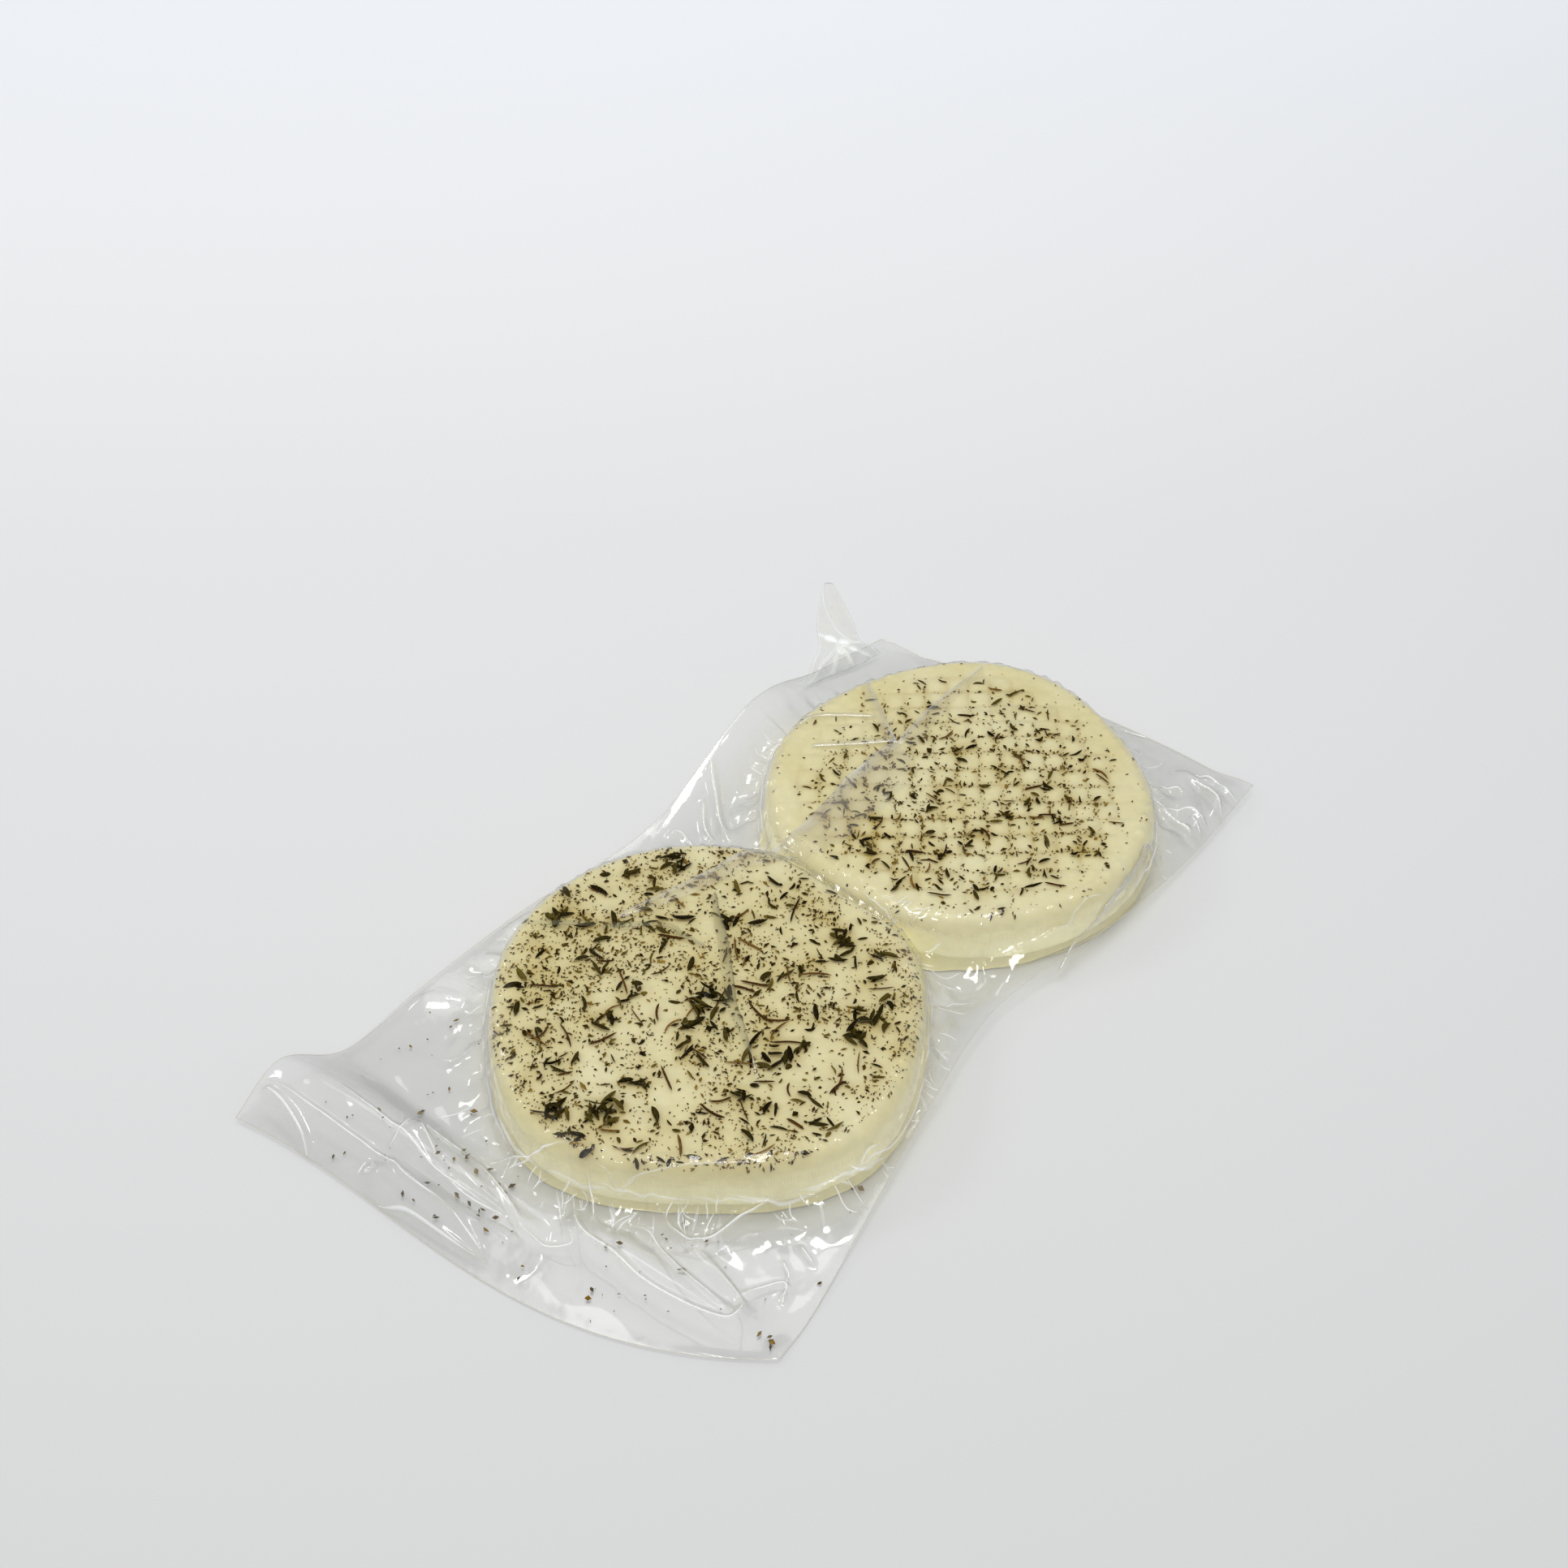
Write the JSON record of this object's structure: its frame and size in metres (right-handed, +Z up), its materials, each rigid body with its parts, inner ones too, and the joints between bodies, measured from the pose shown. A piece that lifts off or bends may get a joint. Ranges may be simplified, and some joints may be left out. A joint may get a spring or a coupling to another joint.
{
  "type": "saganaki cheese in a clear vacuum pouch",
  "caption": "Round slabs of white saganaki cheese strewn with dried thyme, side by side in a clear vacuum-sealed pouch with crumpled margins.",
  "frame": {"origin": "middle of the pouch's box at the level of its underside", "axes": "+X along the pouch from its long loose end to its short sealed end, +Y across it, +Z up"},
  "size_m": [0.2406, 0.1324, 0.0292],
  "materials": {
    "film": "clear glossy vacuum film with creases",
    "cheese": "moist, smooth, slightly translucent cream",
    "thyme": "dry crumbled leaf and stem",
    "whey": "wet, clear, pale yellow"
  },
  "bodies": {
    "root": {"film_pouch": "film", "cheese_round_near": "cheese", "cheese_round_far": "cheese"}
  },
  "joints": []
}
